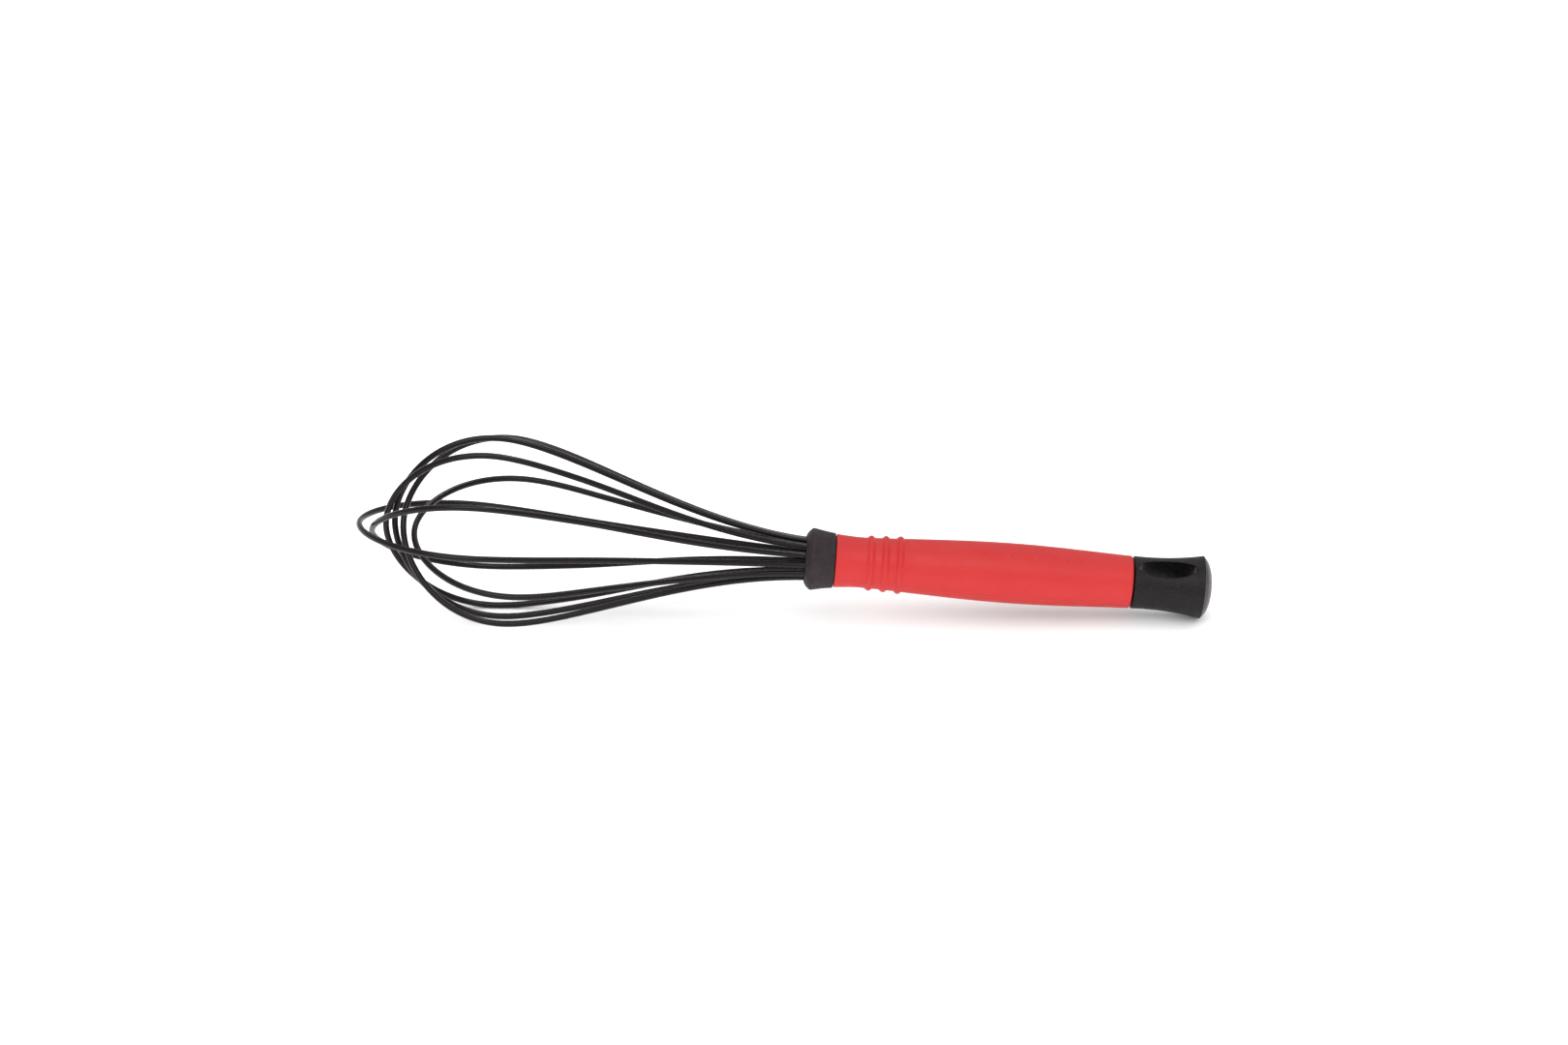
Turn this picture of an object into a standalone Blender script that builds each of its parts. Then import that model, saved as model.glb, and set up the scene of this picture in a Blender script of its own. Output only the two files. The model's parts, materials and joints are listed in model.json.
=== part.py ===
"""Balloon whisk with silicone-coated wires, lying on a table.

The whisk is modelled along its own X axis: x = 0 is the front of the collar, the cage of wires is at
negative x and the handle at positive x. Its local +Z is the direction that the hanging slot faces.
Everything hangs on one empty, which lays the whisk on the table (world z = 0).
"""

import math
from collections import namedtuple

import bmesh
import bpy
from mathutils import Matrix, Vector
from mathutils.geometry import interpolate_bezier

MM = 0.001
FIT_GAP = 0.3 * MM

# Wires: a steel core in a silicone sleeve
STRAND_RADIUS = 1.1 * MM
SLEEVE_BORE_RADIUS = 0.75 * MM
CORE_RADIUS = 0.5 * MM
STRAND_PITCH_RADIUS = 6.7 * MM
CORE_PITCH_RADIUS = 4.2 * MM

# Outline of every loop, as distances in front of the collar and Bezier handles
BELLY_STATION = 108.9 * MM
BELLY_STATION_REACH = 145 * MM
BELLY_SHIFT_WITH_REACH = 0.875
NECK_HANDLE = Vector((43.7 * MM, 2.7 * MM))
BELLY_HANDLE = 22.3 * MM
SHOULDER_HANDLE_SHARE = 0.615
TIP_HANDLE_SHARE = 0.44
NECK_STEPS = 8
TIP_STEPS = 7
TWIST_LENGTH = 80 * MM
FLEX_LENGTH = 20 * MM

# Each loop: the direction of its plane at the plug, in degrees from the slot's direction, how far the
# plane has twisted by the belly, its reach, its radius at the belly, and how far lying on the table
# flexes it up and towards the front, as a share of the distance from the collar.
Loop = namedtuple("Loop", "plane twist reach belly lift drift")
LOOPS = (
    Loop(-58, 4.2, 155.9 * MM, 32.3 * MM, 0.0115, -0.002),
    Loop(-28, 9.0, 151.2 * MM, 33.0 * MM, -0.004, 0.018),
    Loop(2, 19.2, 146.7 * MM, 30.6 * MM, 0.0165, -0.001),
    Loop(32, 10.5, 143.7 * MM, 31.5 * MM, 0.032, -0.008),
    Loop(62, 2.9, 140.6 * MM, 33.1 * MM, 0.027, -0.0015),
    Loop(92, 9.0, 136.7 * MM, 30.7 * MM, 0.000, -0.0035),
)

# Inside the handle's front
COATING_END = 5.0 * MM
PLUG_FRONT = 1.6 * MM
PLUG_BACK = 5.5 * MM
PLUG_RADIUS = 8.6 * MM
CORE_BEND_START = 5.2 * MM
CORE_BEND_END = 12 * MM
CORE_END = 30 * MM
CRIMP_FRONT = 13 * MM
CRIMP_BACK = 17 * MM
CRIMP_BORE_RADIUS = 5.0 * MM
POTTING_BACK = 36 * MM

# Handle core
TUBE_FRONT = PLUG_BACK + FIT_GAP
TUBE_FLANGE_BACK = 9.9 * MM
TUBE_FLANGE_RADIUS = 8.6 * MM
TUBE_RADIUS = 7.2 * MM
TUBE_MOUTH_RADIUS = 7.6 * MM
TUBE_BORE_RADIUS = 5.9 * MM
TUBE_BORE_START = 13 * MM

# Collar
COLLAR_MOUTH_RADIUS = 8.1 * MM
COLLAR_RIM_STATION = 2.5 * MM
COLLAR_RIM_RADIUS = 10.95 * MM
COLLAR_END = 10.2 * MM
COLLAR_END_RADIUS = 9.65 * MM
COLLAR_BORE_RADIUS = 8.9 * MM

# Grip
GRIP_FRONT = 10.5 * MM
GRIP_FRONT_RADIUS = 9.4 * MM
GRIP_WAIST_STATION = 19 * MM
GRIP_WAIST_RADIUS = 8.85 * MM
GRIP_BELLY_STATION = 71 * MM
GRIP_BELLY_RADIUS = 10.6 * MM
GRIP_BACK = 114.5 * MM
GRIP_BACK_RADIUS = 9.2 * MM
GRIP_EDGE = 0.6 * MM
RIDGE_COUNT = 3
RIDGE_FIRST = 22.7 * MM
RIDGE_SPACING = 5.1 * MM
RIDGE_HALF_WIDTH = 1.4 * MM
RIDGE_HEIGHT = 0.8 * MM

# End cap
CAP_FRONT = 115.0 * MM
CAP_FRONT_RADIUS = 9.25 * MM
CAP_RIM_STATION = 139.3 * MM
CAP_RIM_RADIUS = 11.0 * MM
CAP_END = 142.8 * MM
CAP_EDGE = 0.3 * MM
SPIGOT_FRONT = 104 * MM
SLOT_STATION = 126.4 * MM
SLOT_LENGTH = 20.4 * MM
SLOT_WIDTH = 7.2 * MM
SLOT_SIDES = 24

ROUND_STEPS = 32
ROLL = math.radians(27)
UP = Vector((0, math.sin(ROLL), math.cos(ROLL)))
TO_FRONT = Vector((0, -math.cos(ROLL), math.sin(ROLL)))


def clear_scene():
    for thing in list(bpy.data.objects):
        bpy.data.objects.remove(thing)


def make_collection(name):
    collection = bpy.data.collections.new(name)
    bpy.context.scene.collection.children.link(collection)
    return collection


def make_material(name, colour, roughness, metallic=0.0):
    material = bpy.data.materials.new(name)
    material.use_nodes = True
    material.diffuse_color = (*colour, 1)
    shader = material.node_tree.nodes["Principled BSDF"]
    shader.inputs["Base Color"].default_value = (*colour, 1)
    shader.inputs["Roughness"].default_value = roughness
    shader.inputs["Metallic"].default_value = metallic
    return material


def add_object(name, data, collection, frame):
    thing = bpy.data.objects.new(name, data)
    thing.parent = frame
    collection.objects.link(thing)
    return thing


def add_cutter(mesh, cutters, frame):
    cutter = add_object(mesh.name, mesh, cutters, frame)
    cutter.hide_render = True
    cutter.display_type = "WIRE"
    return cutter


def cut(thing, cutter):
    boolean = thing.modifiers.new(cutter.name, "BOOLEAN")
    boolean.object = cutter
    boolean.solver = "EXACT"


def turned(name, outline, parts, frame, material):
    """A piece turned about the whisk's axis.

    The outline's points are (station, radius). Its outer side runs from the cap's end towards the cage.
    It starts and ends on the axis, or else it goes back along the bore and closes on itself.
    """
    mesh = bpy.data.meshes.new(name)
    edges = [(i, i + 1) for i in range(len(outline) - 1)]
    if outline[0][1] > 0:
        edges.append((len(outline) - 1, 0))
    mesh.from_pydata([(radius, 0, station) for station, radius in outline], edges, [])
    mesh.materials.append(material)
    piece = add_object(name, mesh, parts, frame)
    piece.rotation_euler = (0, math.pi / 2, 0)
    screw = piece.modifiers.new("turn", "SCREW")
    screw.steps = ROUND_STEPS
    screw.render_steps = ROUND_STEPS
    screw.use_merge_vertices = True
    screw.merge_threshold = 0.00001
    return piece


def curve_steps(start, start_handle, end_handle, end, steps):
    """Points of one Bezier span, as (station, radius), with both ends."""
    knots = [Vector(knot) for knot in (start, start_handle, end_handle, end)]
    return [tuple(point) for point in interpolate_bezier(*knots, steps + 1)]


# ---------------------------------------------------------------- wires


def smooth_step(value):
    value = min(value, 1.0)
    return value * value * (3 - 2 * value)


def direction(degrees):
    """The unit vector across the axis at an angle from the slot's direction."""
    turn = math.radians(degrees)
    return Vector((0, math.sin(turn), math.cos(turn)))


def half_outline(loop):
    """(distance in front of the collar, radius) along one strand, from the collar to the loop's tip."""
    belly_at = BELLY_STATION + BELLY_SHIFT_WITH_REACH * (loop.reach - BELLY_STATION_REACH)
    start = Vector((0, STRAND_PITCH_RADIUS))
    belly = Vector((belly_at, loop.belly))
    shoulder = SHOULDER_HANDLE_SHARE * (loop.reach - belly_at)
    neck_handle = start + NECK_HANDLE
    belly_handle = belly - Vector((BELLY_HANDLE, 0))
    shoulder_handle = belly + Vector((shoulder, 0))
    tip_handle = (loop.reach, TIP_HANDLE_SHARE * loop.belly)
    neck = curve_steps(start, neck_handle, belly_handle, belly, NECK_STEPS)
    tip = curve_steps(belly, shoulder_handle, tip_handle, (loop.reach, 0), TIP_STEPS)
    return neck + tip[1:]


def cage_point(loop, distance, radius):
    """A point of the loop. A negative radius is on the strand of the opposite side."""
    across = direction(loop.plane + loop.twist * smooth_step(distance / TWIST_LENGTH))
    flex = distance * distance / (distance + FLEX_LENGTH)
    flexed = flex * (loop.lift * UP + loop.drift * TO_FRONT)
    return Vector((-distance, 0, 0)) + radius * across + flexed


def cage_line(loop):
    """The centre line from the collar round the loop and back to the collar."""
    outline = half_outline(loop)
    there = [cage_point(loop, distance, radius) for distance, radius in outline]
    back = [cage_point(loop, distance, -radius) for distance, radius in reversed(outline[:-1])]
    return there + back


def with_ends(loop, tail):
    """The loop's centre line with a tail, as (station, radius), added inside the handle at both ends."""
    across = direction(loop.plane)
    first = [Vector((station, 0, 0)) + radius * across for station, radius in reversed(tail)]
    last = [Vector((station, 0, 0)) - radius * across for station, radius in tail]
    return first + cage_line(loop) + last


def add_tube(name, points, radius, resolution, filled, parts, frame, material):
    curve = bpy.data.curves.new(name, "CURVE")
    curve.dimensions = "3D"
    curve.bevel_depth = radius
    curve.bevel_resolution = resolution
    curve.use_fill_caps = filled
    curve.materials.append(material)
    spline = curve.splines.new("POLY")
    spline.points.add(len(points) - 1)
    for spline_point, point in zip(spline.points, points):
        spline_point.co = (*point, 1)
    return add_object(name, curve, parts, frame)


def build_wires(parts, frame, coating, steel):
    """Six closed loops. Each sleeve ends in the plug, and each core goes on into the potting."""
    coating_tail = [(COATING_END, STRAND_PITCH_RADIUS)]
    bend_handle = (CORE_BEND_END - CORE_BEND_START) / 2
    core_tail = curve_steps(
        (CORE_BEND_START, STRAND_PITCH_RADIUS),
        (CORE_BEND_START + bend_handle, STRAND_PITCH_RADIUS),
        (CORE_BEND_END - bend_handle, CORE_PITCH_RADIUS),
        (CORE_BEND_END, CORE_PITCH_RADIUS),
        4,
    )
    core_tail.append((CORE_END, CORE_PITCH_RADIUS))
    for number, loop in enumerate(LOOPS, start=1):
        name = f"wire_coating_{number}"
        points = with_ends(loop, coating_tail)
        sleeve = add_tube(name, points, STRAND_RADIUS, 2, False, parts, frame, coating)
        wall = sleeve.modifiers.new("wall", "SOLIDIFY")
        wall.thickness = STRAND_RADIUS - SLEEVE_BORE_RADIUS
        wall.offset = -1
        name = f"wire_core_{number}"
        add_tube(name, with_ends(loop, core_tail), CORE_RADIUS, 1, True, parts, frame, steel)


def strand_holes(name, pitch_radius, hole_radius, first, last):
    """A mesh of twelve pins along the axis, one where each strand runs."""
    mesh = bpy.data.meshes.new(name)
    shape = bmesh.new()
    along_axis = Matrix.Rotation(math.pi / 2, 4, "Y")
    for loop in LOOPS:
        for side in (1, -1):
            centre = Vector(((first + last) / 2, 0, 0)) + side * pitch_radius * direction(loop.plane)
            bmesh.ops.create_cone(
                shape,
                cap_ends=True,
                segments=10,
                radius1=hole_radius,
                radius2=hole_radius,
                depth=last - first,
                matrix=Matrix.Translation(centre) @ along_axis,
            )
    shape.to_mesh(mesh)
    shape.free()
    return mesh


# ---------------------------------------------------------------- inside the handle


def build_plug(parts, cutters, frame, material):
    """The block that spaces the twelve strands and closes the handle's mouth."""
    outline = [(PLUG_BACK, 0), (PLUG_BACK, PLUG_RADIUS), (PLUG_FRONT, PLUG_RADIUS), (PLUG_FRONT, 0)]
    plug = turned("wire_plug", outline, parts, frame, material)
    holes = strand_holes("plug_holes", STRAND_PITCH_RADIUS, STRAND_RADIUS + FIT_GAP, 0, 2 * PLUG_BACK)
    cut(plug, add_cutter(holes, cutters, frame))


def build_crimp_ring(parts, frame, material):
    """The band that gathers the twelve bare core ends in front of the potting."""
    radius = TUBE_BORE_RADIUS - FIT_GAP
    outline = [
        (CRIMP_BACK, radius),
        (CRIMP_FRONT, radius),
        (CRIMP_FRONT, CRIMP_BORE_RADIUS),
        (CRIMP_BACK, CRIMP_BORE_RADIUS),
    ]
    turned("crimp_ring", outline, parts, frame, material)


def build_potting(parts, cutters, frame, material):
    """The cast resin that holds the core ends in the handle core."""
    front = CRIMP_BACK + FIT_GAP
    radius = TUBE_BORE_RADIUS - FIT_GAP
    outline = [(POTTING_BACK, 0), (POTTING_BACK, radius), (front, radius), (front, 0)]
    potting = turned("wire_potting", outline, parts, frame, material)
    first = front - 2 * MM
    last = CORE_END + FIT_GAP
    holes = strand_holes("potting_holes", CORE_PITCH_RADIUS, CORE_RADIUS + FIT_GAP, first, last)
    cut(potting, add_cutter(holes, cutters, frame))


def build_handle_core(parts, frame, material):
    """The stiff tube under the grip, with a flange in the collar and a bore that funnels the cores in."""
    outline = [
        (GRIP_BACK, TUBE_RADIUS),
        (TUBE_FLANGE_BACK, TUBE_RADIUS),
        (TUBE_FLANGE_BACK, TUBE_FLANGE_RADIUS),
        (TUBE_FRONT, TUBE_FLANGE_RADIUS),
        (TUBE_FRONT, TUBE_MOUTH_RADIUS),
        (TUBE_BORE_START, TUBE_BORE_RADIUS),
        (GRIP_BACK, TUBE_BORE_RADIUS),
    ]
    turned("handle_core", outline, parts, frame, material)


# ---------------------------------------------------------------- outside of the handle


def build_collar(parts, frame, material):
    """The rubber ferrule, with a domed nose that the strands come out of."""
    nose_edge = (COLLAR_RIM_STATION - 0.5 * MM, COLLAR_RIM_RADIUS)
    nose_handle = (0.6 * MM, COLLAR_MOUTH_RADIUS + 1.6 * MM)
    mouth = (0, COLLAR_MOUTH_RADIUS + 0.2 * MM)
    step = PLUG_FRONT - FIT_GAP
    nose = curve_steps((COLLAR_RIM_STATION, COLLAR_RIM_RADIUS), nose_edge, nose_handle, mouth, 5)
    outline = [
        (COLLAR_END, COLLAR_END_RADIUS),
        *nose,
        (0, COLLAR_MOUTH_RADIUS),
        (step, COLLAR_MOUTH_RADIUS),
        (step, COLLAR_BORE_RADIUS),
        (COLLAR_END, COLLAR_BORE_RADIUS),
    ]
    turned("collar", outline, parts, frame, material)


def ridge_height(share):
    """How far a finger ridge raises the grip, at a share of the ridge's half width from its crest."""
    return RIDGE_HEIGHT * (1 - smooth_step(abs(share)))


def build_grip(parts, frame, material):
    """The silicone sleeve: a spindle with three finger ridges near the collar."""
    belly = (GRIP_BELLY_STATION, GRIP_BELLY_RADIUS)
    waist = (GRIP_WAIST_STATION, GRIP_WAIST_RADIUS)
    back_edge = (GRIP_BACK - GRIP_EDGE, GRIP_BACK_RADIUS)
    back_handle = (GRIP_BACK - 12 * MM, GRIP_BACK_RADIUS + 0.4 * MM)
    belly_back_handle = (GRIP_BELLY_STATION + 17 * MM, GRIP_BELLY_RADIUS)
    belly_front_handle = (GRIP_BELLY_STATION - 19 * MM, GRIP_BELLY_RADIUS)
    waist_handle = (GRIP_WAIST_STATION + 11 * MM, GRIP_WAIST_RADIUS + 0.1 * MM)
    back = curve_steps(back_edge, back_handle, belly_back_handle, belly, 7)
    front_side = curve_steps(belly, belly_front_handle, waist_handle, waist, 160)
    ridge_last = RIDGE_FIRST + (RIDGE_COUNT - 1) * RIDGE_SPACING + RIDGE_HALF_WIDTH
    front = [point for point in front_side[::20] if point[0] > ridge_last + 1 * MM]

    ridges = []
    for number in reversed(range(RIDGE_COUNT)):
        for share in (1, 0.5, 0, -0.5, -1):
            station = RIDGE_FIRST + number * RIDGE_SPACING + share * RIDGE_HALF_WIDTH
            base = min(front_side, key=lambda point: abs(point[0] - station))[1]
            ridges.append((station, base + ridge_height(share)))
    bore = TUBE_RADIUS + FIT_GAP
    outline = [
        (GRIP_BACK, GRIP_BACK_RADIUS - GRIP_EDGE),
        *back,
        *front[1:],
        *ridges,
        waist,
        (GRIP_FRONT, GRIP_FRONT_RADIUS),
        (GRIP_FRONT, bore),
        (GRIP_BACK, bore),
    ]
    turned("grip_sleeve", outline, parts, frame, material)


def build_end_cap(parts, cutters, frame, material):
    """The waisted cap: a dome, a spigot that goes into the handle core, and a slot to hang it by."""
    rim = (CAP_RIM_STATION, CAP_RIM_RADIUS)
    rim_back = (CAP_RIM_STATION + CAP_EDGE, CAP_RIM_RADIUS - CAP_EDGE)
    front_edge = (CAP_FRONT + CAP_EDGE, CAP_FRONT_RADIUS)
    dome_handle = (CAP_END, 0.55 * CAP_RIM_RADIUS)
    dome_rim_handle = (CAP_END - 1.5 * MM, 0.85 * CAP_RIM_RADIUS)
    rim_handle = (CAP_RIM_STATION - 7 * MM, 9.6 * MM)
    front_handle = (CAP_FRONT + 8.5 * MM, 8.85 * MM)
    dome = curve_steps((CAP_END, 0), dome_handle, dome_rim_handle, rim_back, 6)
    side = curve_steps(rim, rim_handle, front_handle, front_edge, 10)
    spigot_radius = TUBE_BORE_RADIUS - FIT_GAP
    outline = [
        *dome,
        *side,
        (CAP_FRONT, CAP_FRONT_RADIUS - CAP_EDGE),
        (CAP_FRONT, spigot_radius),
        (SPIGOT_FRONT, spigot_radius),
        (SPIGOT_FRONT, 0),
    ]
    cap = turned("end_cap", outline, parts, frame, material)

    mesh = bpy.data.meshes.new("slot")
    shape = bmesh.new()
    half_side = math.pi / SLOT_SIDES
    oval = Matrix.Diagonal((SLOT_LENGTH / 2, SLOT_WIDTH / 2, 1, 1))
    place = Matrix.Translation((SLOT_STATION, 0, 0)) @ oval @ Matrix.Rotation(half_side, 4, "Z")
    bmesh.ops.create_cone(
        shape,
        cap_ends=True,
        segments=SLOT_SIDES,
        radius1=1,
        radius2=1,
        depth=3 * CAP_RIM_RADIUS,
        matrix=place,
    )
    shape.to_mesh(mesh)
    shape.free()
    cut(cap, add_cutter(mesh, cutters, frame))


# ---------------------------------------------------------------- on the table


def lay_on_table(frame):
    """Rolls the whisk and pitches it until its lowest strand and the cap's rim touch z = 0."""
    roll = Matrix.Rotation(ROLL, 3, "X")
    cage = [roll @ point for loop in LOOPS for point in cage_line(loop)]

    def cage_height(pitch):
        return min(point.z * math.cos(pitch) - point.x * math.sin(pitch) for point in cage) - STRAND_RADIUS

    def rim_height(pitch):
        return -CAP_RIM_STATION * math.sin(pitch) - CAP_RIM_RADIUS * math.cos(pitch)

    low, high = 0.0, math.radians(10)
    for _ in range(30):
        pitch = (low + high) / 2
        if cage_height(pitch) < rim_height(pitch):
            low = pitch
        else:
            high = pitch
    tilt = Matrix.Rotation(pitch, 3, "Y")
    placed = [tilt @ point for point in cage]
    front = min(point.x for point in placed) - STRAND_RADIUS
    back = CAP_END * math.cos(pitch)
    middle = (min(point.y for point in placed) + max(point.y for point in placed)) / 2
    frame.rotation_euler = (ROLL, pitch, 0)
    frame.location = (-(front + back) / 2, -middle, -rim_height(pitch))


def main():
    clear_scene()
    parts = make_collection("balloon_whisk")
    cutters = make_collection("cutters")
    coating = make_material("black_silicone", (0.022, 0.018, 0.019), 0.35)
    steel = make_material("spring_steel", (0.6, 0.6, 0.6), 0.3, 1.0)
    nylon = make_material("black_nylon", (0.02, 0.02, 0.02), 0.5)
    resin = make_material("clear_resin", (0.5, 0.42, 0.25), 0.3)
    rubber = make_material("collar_rubber", (0.045, 0.035, 0.037), 0.7)
    silicone = make_material("red_silicone", (0.75, 0.06, 0.055), 0.45)
    cap_plastic = make_material("cap_plastic", (0.026, 0.023, 0.024), 0.55)

    frame = bpy.data.objects.new("whisk_frame", None)
    parts.objects.link(frame)
    build_wires(parts, frame, coating, steel)
    build_plug(parts, cutters, frame, nylon)
    build_crimp_ring(parts, frame, steel)
    build_potting(parts, cutters, frame, resin)
    build_handle_core(parts, frame, nylon)
    build_collar(parts, frame, rubber)
    build_grip(parts, frame, silicone)
    build_end_cap(parts, cutters, frame, cap_plastic)
    lay_on_table(frame)
    bpy.context.view_layer.update()


main()
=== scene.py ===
"""Looks of the balloon whisk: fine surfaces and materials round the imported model.

Lengths are in metres. The whisk has its own axes, which the pieces are drawn in before they are laid in
place: x = 0 is the front of the collar, the cage of wires is at negative x and the handle at positive x,
and +Z is the direction that the hanging slot faces.
"""

import json
import math
from collections import namedtuple

import bmesh
import bpy
from mathutils import Matrix, Vector
from mathutils.geometry import interpolate_bezier


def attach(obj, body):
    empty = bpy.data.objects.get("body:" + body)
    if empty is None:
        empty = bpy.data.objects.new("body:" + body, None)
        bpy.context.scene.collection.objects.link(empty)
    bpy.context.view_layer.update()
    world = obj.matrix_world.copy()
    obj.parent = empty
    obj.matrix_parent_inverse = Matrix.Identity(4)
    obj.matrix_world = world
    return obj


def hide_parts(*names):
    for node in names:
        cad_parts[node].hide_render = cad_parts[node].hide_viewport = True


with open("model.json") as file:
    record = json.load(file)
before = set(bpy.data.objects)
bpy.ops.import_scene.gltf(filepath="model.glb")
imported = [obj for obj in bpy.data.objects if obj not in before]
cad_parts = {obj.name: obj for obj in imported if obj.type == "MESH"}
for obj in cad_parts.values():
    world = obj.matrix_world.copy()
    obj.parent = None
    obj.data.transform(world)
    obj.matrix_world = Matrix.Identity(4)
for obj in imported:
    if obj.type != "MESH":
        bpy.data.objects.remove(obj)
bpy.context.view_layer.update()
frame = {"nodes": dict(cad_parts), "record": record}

MM = 0.001
BODY = "root"

# Wires
STRAND_RADIUS = 1.1 * MM
SLEEVE_BORE_RADIUS = 0.75 * MM
CORE_RADIUS = 0.5 * MM
STRAND_PITCH_RADIUS = 6.7 * MM
CORE_PITCH_RADIUS = 4.2 * MM
COATING_END = 5.0 * MM
CORE_BEND_START = 5.2 * MM
CORE_BEND_END = 12 * MM
CORE_END = 30 * MM
NECK_STEPS = 72
TIP_STEPS = 60
TAIL_STEPS = 12
SLEEVE_SIDES = 20
CORE_SIDES = 10

# Outline of every loop, as distances in front of the collar and Bezier handles
BELLY_STATION = 108.9 * MM
BELLY_STATION_REACH = 145 * MM
BELLY_SHIFT_WITH_REACH = 0.875
NECK_HANDLE = Vector((43.7 * MM, 2.7 * MM))
BELLY_HANDLE = 22.3 * MM
SHOULDER_HANDLE_SHARE = 0.615
TIP_HANDLE_SHARE = 0.44
TWIST_LENGTH = 80 * MM
FLEX_LENGTH = 20 * MM

# Each loop: the direction of its plane at the plug, in degrees from the slot's direction, how far the
# plane has twisted by the belly, its reach, its radius at the belly, and how far lying on the table
# flexes it up and towards the front, as a share of the distance from the collar.
Loop = namedtuple("Loop", "plane twist reach belly lift drift")
LOOPS = (
    Loop(-58, 4.2, 155.9 * MM, 32.3 * MM, 0.0115, -0.002),
    Loop(-28, 9.0, 151.2 * MM, 33.0 * MM, -0.004, 0.018),
    Loop(2, 19.2, 146.7 * MM, 30.6 * MM, 0.0165, -0.001),
    Loop(32, 10.5, 143.7 * MM, 31.5 * MM, 0.032, -0.008),
    Loop(62, 2.9, 140.6 * MM, 33.1 * MM, 0.027, -0.0015),
    Loop(92, 9.0, 136.7 * MM, 30.7 * MM, 0.000, -0.0035),
)

# Collar
COLLAR_MOUTH_RADIUS = 8.1 * MM
COLLAR_LIP = 0.22 * MM
COLLAR_STEP = 1.3 * MM
COLLAR_RIM_STATION = 2.5 * MM
COLLAR_RIM_RADIUS = 10.95 * MM
COLLAR_RIM_EDGE = 0.35 * MM
COLLAR_END = 10.2 * MM
COLLAR_END_RADIUS = 9.65 * MM
COLLAR_BORE_RADIUS = 8.9 * MM
COLLAR_EDGE = 0.25 * MM
COLLAR_MOUTH_HANDLE = (0.55 * MM, COLLAR_MOUTH_RADIUS + 1.5 * MM)
COLLAR_NOSE_HANDLE = (COLLAR_RIM_STATION - 0.7 * MM, COLLAR_RIM_RADIUS - 0.15 * MM)
COLLAR_SIDE_HANDLE = (5.5 * MM, 10.35 * MM)
COLLAR_END_HANDLE = (8 * MM, 9.85 * MM)
COLLAR_NOSE_STEPS = 20
COLLAR_SIDE_STEPS = 24
COLLAR_COLUMNS = 128

# Grip. The ridges' fillet and the lozenges' corner, foot and slope are shares of their own size, and
# the parting line's reach is an angle in radians.
GRIP_FRONT = 10.5 * MM
GRIP_FRONT_RADIUS = 9.4 * MM
GRIP_WAIST_STATION = 19 * MM
GRIP_WAIST_RADIUS = 8.85 * MM
GRIP_BELLY_STATION = 71 * MM
GRIP_BELLY_RADIUS = 10.6 * MM
GRIP_BACK = 114.5 * MM
GRIP_BACK_RADIUS = 9.2 * MM
GRIP_BORE_RADIUS = 7.5 * MM
GRIP_FRONT_EDGE = 0.3 * MM
GRIP_BACK_EDGE = 0.7 * MM
GRIP_EDGE_STEPS = 8
GRIP_FLARE_HANDLE = (14 * MM, 9.13 * MM)
GRIP_WAIST_FRONT_HANDLE = (16.8 * MM, GRIP_WAIST_RADIUS)
GRIP_WAIST_BACK_HANDLE = (GRIP_WAIST_STATION + 11 * MM, GRIP_WAIST_RADIUS + 0.1 * MM)
GRIP_BELLY_FRONT_HANDLE = (GRIP_BELLY_STATION - 19 * MM, GRIP_BELLY_RADIUS)
GRIP_BELLY_BACK_HANDLE = (GRIP_BELLY_STATION + 17 * MM, GRIP_BELLY_RADIUS)
GRIP_BACK_HANDLE = (GRIP_BACK - 12 * MM, GRIP_BACK_RADIUS + 0.4 * MM)
GRIP_FLARE_STEPS = 40
GRIP_SIDE_STEPS = 200
RIDGE_STATIONS = (22.7 * MM, 27.8 * MM, 32.9 * MM)
RIDGE_HALF_WIDTH = 1.3 * MM
RIDGE_HEIGHT = 0.8 * MM
RIDGE_FILLET = 0.02
RIDGE_REACH = 1.6 * RIDGE_HALF_WIDTH
LOZENGE_COUNT = 9
LOZENGE_FIRST = 56.5 * MM
LOZENGE_SPACING = 4.8 * MM
LOZENGE_HALF_LENGTH = 1.8 * MM
LOZENGE_HALF_WIDTH = 1.25 * MM
LOZENGE_HEIGHT = 0.22 * MM
LOZENGE_CORNER = 0.25
LOZENGE_FOOT = 1.05
LOZENGE_SLOPE = 0.3
LOZENGE_REACH = 1.2 * LOZENGE_HALF_LENGTH
PARTING_HEIGHT = 0.09 * MM
PARTING_HALF_WIDTH = 0.2 * MM
PARTING_REACH = 0.035

# Spacing of the grip's mesh along its axis, and in radians round it
FLARE_SPACING = 0.8 * MM
RIDGE_SPACING = 0.13 * MM
LOZENGE_ROW_SPACING = 0.16 * MM
PLAIN_SPACING = 1.2 * MM
LOZENGE_TURN = 0.0115
PARTING_TURN = 0.007
PLAIN_TURN = 0.07

# End cap
CAP_FRONT = 115.0 * MM
CAP_FRONT_RADIUS = 9.25 * MM
CAP_FRONT_EDGE = 0.3 * MM
CAP_RIM_STATION = 139.3 * MM
CAP_RIM_RADIUS = 11.0 * MM
CAP_RIM_EDGE = 0.3 * MM
CAP_END = 142.8 * MM
CAP_FRONT_HANDLE = (CAP_FRONT + 8.5 * MM, 8.85 * MM)
CAP_RIM_HANDLE = (CAP_RIM_STATION - 7 * MM, 9.6 * MM)
CAP_SIDE_STEPS = 400
DOME_START = (CAP_RIM_STATION + CAP_RIM_EDGE, CAP_RIM_RADIUS - CAP_RIM_EDGE)
DOME_SIDE_HANDLE = (CAP_END - 1.5 * MM, 0.85 * CAP_RIM_RADIUS)
DOME_MIDDLE_HANDLE = (CAP_END, 0.55 * CAP_RIM_RADIUS)
DOME_MIDDLE_RADIUS = 0.3 * MM
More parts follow.
